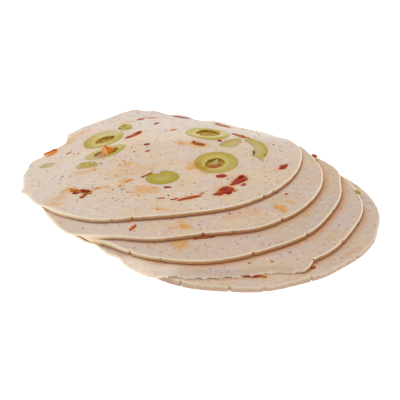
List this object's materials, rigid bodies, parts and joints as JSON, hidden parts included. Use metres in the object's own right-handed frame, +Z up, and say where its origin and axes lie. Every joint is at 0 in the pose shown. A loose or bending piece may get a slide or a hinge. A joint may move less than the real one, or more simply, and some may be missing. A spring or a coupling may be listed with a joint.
{
  "type": "olive loaf slices",
  "caption": "Fan of thin round slices of a pale cooked meat loaf with green olive rings and red pimento, draped over one another to lie on a plate or board.",
  "frame": {"origin": "middle of the base of the whole fan's box, on the surface that it lies on", "axes": "+Z up through the slices, +Y away from the viewer and towards the top slice, +X to the viewer's right"},
  "size_m": [0.1308, 0.1568, 0.0099],
  "materials": {
    "meat": "moist matt, finely speckled",
    "olive": "smooth and moist",
    "pimento": "wet and glossy"
  },
  "bodies": {
    "root": {"slice_1": "meat", "slice_2": "meat", "slice_3": "meat", "slice_4": "meat", "slice_5": "meat", "olive_ring_rear_left": "olive", "olive_ring_left": "olive", "olive_ring_front": "olive", "olive_ring_rear_right": "olive", "olive_cap": "olive", "olive_block": "olive", "olive_chip_left": "olive", "olive_chip_rear": "olive", "olive_arc_long": "olive", "olive_arc_short": "olive", "stuffing_left": "pimento", "stuffing_front": "pimento", "pimento_1": "pimento", "pimento_2": "pimento", "pimento_3": "pimento", "pimento_4": "pimento", "pimento_5": "pimento", "pimento_6": "pimento", "pimento_7": "pimento", "pimento_8": "pimento", "pimento_9": "pimento", "pimento_10": "pimento", "pimento_11": "pimento", "pimento_12": "pimento"}
  },
  "joints": []
}
